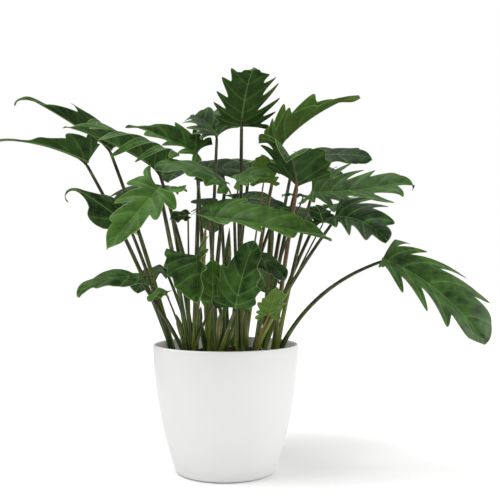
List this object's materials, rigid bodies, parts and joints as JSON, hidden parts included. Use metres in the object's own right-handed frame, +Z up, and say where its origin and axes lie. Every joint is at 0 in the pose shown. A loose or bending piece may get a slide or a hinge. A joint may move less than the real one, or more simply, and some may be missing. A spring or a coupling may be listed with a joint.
{
  "type": "potted xanadu philodendron",
  "caption": "Bushy foliage plant with lobed green leaves on long stalks, growing from soil in a plain white tapered round pot with a flat base.",
  "frame": {"origin": "centre of the pot's flat base, on the surface that the pot stands on", "axes": "+Z up the pot's axis, -Y towards the side that the picture shows, +X to the right of that side"},
  "size_m": [0.6164, 0.3864, 0.4827],
  "materials": {
    "pot": "matt white",
    "soil": "dark peat",
    "petiole": "smooth olive brown",
    "leaf": "satin green"
  },
  "bodies": {
    "root": {"pot": "pot", "soil": "soil", "crown_left": "petiole", "crown_left_front": "petiole", "crown_front": "petiole", "crown_right_front": "petiole", "crown_right": "petiole", "crown_right_back": "petiole", "crown_back": "petiole", "crown_left_back": "petiole", "crown_left_middle": "petiole", "crown_right_middle": "petiole", "blade_01": "leaf", "blade_02": "leaf", "blade_03": "leaf", "blade_04": "leaf", "blade_05": "leaf", "blade_06": "leaf", "blade_07": "leaf", "blade_08": "leaf", "blade_09": "leaf", "blade_10": "leaf", "blade_11": "leaf", "blade_12": "leaf", "blade_13": "leaf", "blade_14": "leaf", "blade_15": "leaf", "blade_16": "leaf", "blade_17": "leaf", "blade_18": "leaf", "blade_19": "leaf", "blade_20": "leaf", "blade_21": "leaf", "blade_22": "leaf", "blade_23": "leaf", "blade_24": "leaf", "blade_25": "leaf", "blade_26": "leaf", "blade_27": "leaf", "blade_28": "leaf", "blade_29": "leaf", "blade_30": "leaf", "blade_31": "leaf", "blade_32": "leaf", "blade_33": "leaf", "blade_34": "leaf", "blade_35": "leaf", "blade_36": "leaf", "blade_37": "leaf", "blade_38": "leaf", "blade_39": "leaf", "blade_40": "leaf"}
  },
  "joints": []
}
